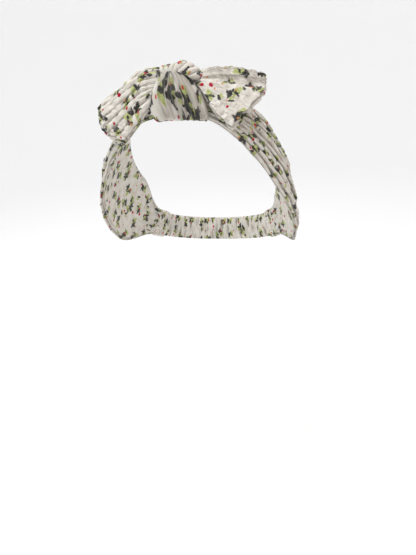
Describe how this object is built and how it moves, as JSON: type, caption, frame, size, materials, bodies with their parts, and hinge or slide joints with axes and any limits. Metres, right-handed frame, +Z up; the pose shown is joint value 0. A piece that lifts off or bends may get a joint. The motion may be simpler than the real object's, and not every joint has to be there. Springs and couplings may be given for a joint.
{
  "type": "knotted headband",
  "caption": "Soft gathered turban headband of printed crinkled jersey, with a tie knotted over the front, two short tails, and an elastic casing at the nape.",
  "frame": {"origin": "centre of the head opening, which is the centre of the head ellipsoid that the band is shaped on", "axes": "+Z up, out through the crown; -Y towards the wearer's face; +X to the wearer's left. The head leaves along -Z."},
  "size_m": [0.1634, 0.1711, 0.1801],
  "materials": {
    "print_jersey": "matt crinkled jersey, leaf print",
    "thread": "spun sewing thread",
    "elastic": "woven flat elastic"
  },
  "bodies": {
    "band": {"band_outer": "print_jersey", "band_lining": "print_jersey", "band_seam_stitches": "thread", "cuff_left": "print_jersey", "cuff_right": "print_jersey", "cuff_stitches_left": "thread", "cuff_stitches_right": "thread", "elastic_tack_left": "thread", "elastic_tack_right": "thread", "knot_front_wrap": "print_jersey", "knot_rear_wrap": "print_jersey", "knot_under_pass": "print_jersey", "knot_crossing": "print_jersey", "knot_tacks": "thread"},
    "tail_left": {"tail_left_front_ply": "print_jersey", "tail_left_back_ply": "print_jersey", "tail_left_hem_stitches": "thread"},
    "tail_right": {"tail_right_front_ply": "print_jersey", "tail_right_back_ply": "print_jersey", "tail_right_hem_stitches": "thread"},
    "nape": {"nape_casing": "print_jersey", "nape_elastic": "elastic", "casing_stitches": "thread"}
  },
  "joints": [
    {"name": "tail_left_flex", "type": "hinge", "parent": "band", "child": "tail_left", "pos_m": [-0.0166, -0.04354, 0.12814], "axis": [0, 0.8787, 0.4774], "range_deg": [-6, 50], "stiffness_Nm_per_rad": 0.03},
    {"name": "tail_right_flex", "type": "hinge", "parent": "band", "child": "tail_right", "pos_m": [0.0186, -0.04293, 0.13121], "axis": [0, -0.8787, -0.4774], "range_deg": [-14, 50], "stiffness_Nm_per_rad": 0.03},
    {"name": "nape_stretch", "type": "slide", "parent": "band", "child": "nape", "axis": [0, 0.9397, -0.342], "range_m": [-0.01, 0.02], "stiffness_N_per_m": 120, "deforming": ["nape_casing", "nape_elastic"]}
  ]
}
